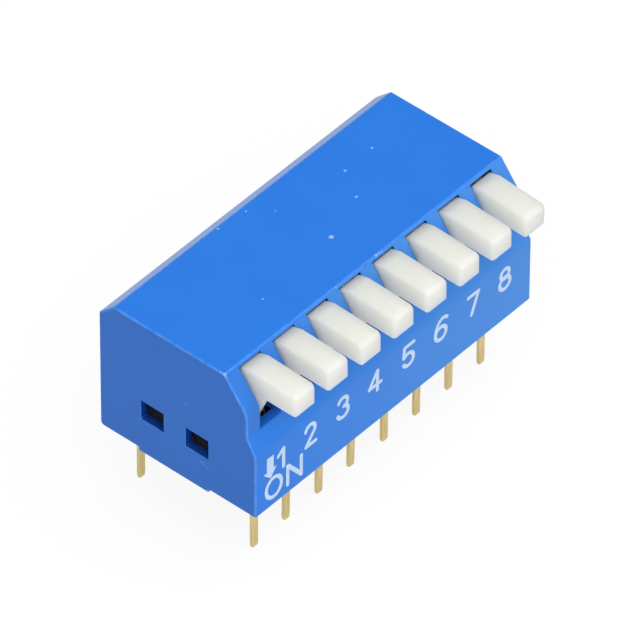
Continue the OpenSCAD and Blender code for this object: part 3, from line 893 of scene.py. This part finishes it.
def ribbon(path, closed):
    """Points of a ribbon along a path in the front face: path + across * half width * share.
    Across it are five points, of which the outer two lie on the face."""
    path = np.asarray(path, float)
    gaps = np.linalg.norm(np.diff(path, axis=0), axis=1)
    along = np.append(0, np.cumsum(gaps))
    at, wide = stations(along[-1], STROKE / 2, closed)
    middle = np.stack([np.interp(at, along, path[:, k]) for k in (0, 1)], 1)
    first, last = (path[1] - path[0]) / gaps[0], (path[-1] - path[-2]) / gaps[-1]
    middle += np.minimum(at, 0)[:, None] * first + np.maximum(at - along[-1], 0)[:, None] * last
    ahead = np.gradient(middle, axis=0)
    if closed:
        ahead[0] = ahead[-1] = middle[1] - middle[-2]
    ahead /= np.linalg.norm(ahead, axis=1, keepdims=True)
    across = np.stack([ahead[:, 1], -ahead[:, 0]], 1)
    share, lift = np.array([-1, -0.88, 0, 0.88, 1]), np.array([0, 1, 1, 1, 0]) * INK
    flat = middle[:, None] + across[:, None] * (share[:, None] * STROKE / 2 * wide[:, None, None])
    return np.stack([flat[..., 0], np.broadcast_to(-lift, flat.shape[:2]), flat[..., 1]], -1)


def ribbon_faces(grid, first):
    """A quad between each four neighbours of a grid of points, numbered on from the first."""
    number = first + np.arange(grid.shape[0] * grid.shape[1]).reshape(grid.shape[:2])
    corners = [number[:-1, :-1], number[:-1, 1:], number[1:, 1:], number[1:, :-1]]
    return np.stack(corners, -1).reshape(-1, 4).tolist()


print("a straight stroke of 1 mm:", ribbon([(0, 0), (1, 0)], False).shape[:2], "points")

# %% [markdown]
# Each sign is drawn in its own box: x from its left side and z from its foot, in mm, about one
# wide and one and a half high. Round parts are pieces of ellipses. The artwork is uneven, as on
# most small parts, so each sign has a place of its own, and is stretched a little.

# %% Shapes of the signs
def bend(x, z, rx, rz, start, stop):
    """Points of an ellipse: the centre plus rx * cos and rz * sin, angles in degrees."""
    t = np.radians(np.linspace(start, stop, 25))
    return np.stack([x + rx * np.cos(t), z + rz * np.sin(t)], 1)


SIGNS = {
    "1": [[(0.05, 1.06), (0.42, 1.37)], [(0.45, 1.37), (0.45, 0.12)]],
    "2": [np.vstack([bend(0.48, 1.05, 0.36, 0.34, 170, -25), [(0.14, 0.12)]]),
          [(0.14, 0.12), (0.88, 0.12)]],
    "3": [bend(0.48, 1.08, 0.33, 0.30, 160, -80), bend(0.48, 0.46, 0.38, 0.35, 80, -165)],
    "4": [[(0.68, 1.37), (0.1, 0.48)], [(0.1, 0.48), (0.95, 0.48)], [(0.70, 1.37), (0.70, 0.1)]],
    "5": [[(0.85, 1.37), (0.2, 1.37)], [(0.2, 1.37), (0.16, 0.78)],
          bend(0.48, 0.5, 0.37, 0.38, 140, -155)],
    "6": [bend(0.66, 0.5, 0.54, 0.86, 60, 180), bend(0.5, 0.5, 0.38, 0.38, 0, 360)],
    "7": [[(0.08, 1.34), (0.88, 1.34)], [(0.88, 1.34), (0.36, 0.12)]],
    "8": [bend(0.5, 1.06, 0.32, 0.3, 0, 360), bend(0.5, 0.48, 0.4, 0.37, 0, 360)],
    "O": [bend(0.7, 0.68, 0.58, 0.66, 0, 360)],
    "N": [[(0.12, 0.0), (0.12, 1.36)], [(0.16, 1.34), (1.1, 0.04)], [(1.12, 0.0), (1.12, 1.36)]],
}
# Each sign's place: x, z, and how much it is stretched along both.
PLACES = {
    "1": (-9.01, 2.26, 1, 1), "2": (-6.99, 2.27, 1, 1.08), "3": (-4.52, 2.36, 1.07, 1.06),
    "4": (-2.07, 2.38, 1.04, 1.03), "5": (0.53, 2.31, 1.09, 1.11), "6": (3.04, 2.31, 1.1, 1.13),
    "7": (5.66, 2.31, 1, 1.09), "8": (8.13, 2.29, 1.01, 1.09),
    "O": (-10, 0.77, 1, 1), "N": (-8.37, 0.835, 1.04, 0.955),
}

strokes = []
for name, (x, z, wider, taller) in PLACES.items():
    for layer, path in enumerate(SIGNS[name]):
        stroke = ribbon(np.asarray(path) * (wider, taller), np.allclose(path[0], path[-1]))
        strokes.append(stroke + [x, FRONT - TRACE * (1 + layer), z])
points = [stroke.reshape(-1, 3) for stroke in strokes]
firsts = np.cumsum([0, *map(len, points)])
faces = [face for stroke, first in zip(strokes, firsts) for face in ribbon_faces(stroke, first)]
place_piece("front_print", np.concatenate(points), faces, CASE, [ink])
print("print:", len(strokes), "strokes,", len(faces), "faces")

# %% [markdown]
# The arrow is no stroke but a filled shape, so it is a thin plate with the same thickness.

# %% Arrow
ARROW = np.array([
    (-9.84, 3.74), (-9.84, 2.8), (-10.09, 2.79), (-9.56, 2.24), (-9.1, 2.85), (-9.33, 2.84),
    (-9.33, 3.74),
])
plate = np.array([np.insert(ARROW, 1, FRONT - depth, axis=1) for depth in (TRACE, INK)])
arrow = place_piece("front_arrow", plate.reshape(-1, 3), skin(plate), CASE, [ink])
arrow.data.polygons.foreach_set("use_smooth", np.zeros(len(arrow.data.polygons), bool))
print("arrow:", len(arrow.data.polygons), "faces")

# %% [markdown]
# ## Floor and light
# The switch stands on white paper. Seen by the camera, the paper has to be nearly pure white,
# with a faint shadow, but as a lit surface it must not throw too much light back, so most
# of what the camera sees is a plain white glow. Three large softboxes light the switch: one
# above, a weak one in front, and one from the front left, which fills the gaps between the
# levers.

# %% Floor
def paper_white(name):
    """Matt paper, mixed with a white glow: the share of the glow is 0.87 for camera and
    transmission rays, 0.55 for glossy ones, and none for the light that falls on the switch."""
    surface = {"Base Color": linear("#E8E8E8"), "Roughness": 0.9}
    material, tree, _, shader = finish(name, surface)
    path = add(tree, "LightPath")
    camera_ray, through = path.outputs["Is Camera Ray"], path.outputs["Is Transmission Ray"]
    seen = add(tree, "Math", {0: camera_ray, 1: through}, operation="MAXIMUM")
    direct = add(tree, "Math", {0: seen.outputs[0], 1: 0.87}, operation="MULTIPLY")
    glossy = add(tree, "Math", {0: path.outputs["Is Glossy Ray"], 1: 0.55}, operation="MULTIPLY")
    share = add(tree, "Math", {0: direct.outputs[0], 1: glossy.outputs[0]}, operation="MAXIMUM")
    glow = add(tree, "Emission", {"Color": (1, 1, 1, 1), "Strength": 1.04})
    pick = add(tree, "MixShader", {0: share.outputs[0], 1: shader.outputs[0], 2: glow.outputs[0]})
    tree.links.new(pick.outputs[0], tree.nodes["Material Output"].inputs["Surface"])
    return material


# The paper reaches three metres each way, so its edges lie outside every view.
floor_z, reach = cad_box[0][2], 3.0
corners = [(x * reach, y * reach, floor_z) for x, y in ((-1, -1), (1, -1), (1, 1), (-1, 1))]
paper = bpy.data.meshes.new("floor")
paper.from_pydata(corners, [], [(0, 1, 2, 3)])
paper.materials.append(paper_white("Matt white paper"))
floor = bpy.data.objects.new("floor", paper)
bpy.context.collection.objects.link(floor)
print("floor at", round(floor_z / MM, 2), "mm")

# %% Lamps
def softbox(name, direction, size, power, distance=0.5):
    """A square area lamp that faces the switch from a direction. Its size and distance are in
    metres and its power is in watts."""
    lamp = bpy.data.lights.new(name, "AREA")
    lamp.shape, lamp.size, lamp.energy = "SQUARE", size, power
    holder = bpy.data.objects.new(name, lamp)
    bpy.context.collection.objects.link(holder)
    way = Vector(direction).normalized()
    holder.location = way * distance
    holder.rotation_euler = way.to_track_quat("Z", "Y").to_euler()


softbox("softbox above", (0.1, -0.35, 1), 0.5, 1.54)
softbox("softbox front", (0.3, -1, 0.35), 0.4, 0.12)
softbox("softbox front left", (-0.6, -0.5, 0.65), 0.4, 1.1)

world = bpy.data.worlds.new("studio")
world.use_nodes = True
world.node_tree.nodes["Background"].inputs["Color"].default_value = (1, 1, 1, 1)
world.node_tree.nodes["Background"].inputs["Strength"].default_value = 0.3
bpy.context.scene.world = world
bpy.context.scene.view_settings.view_transform = "Standard"
print("lamps:", [lamp.name for lamp in bpy.data.lights])
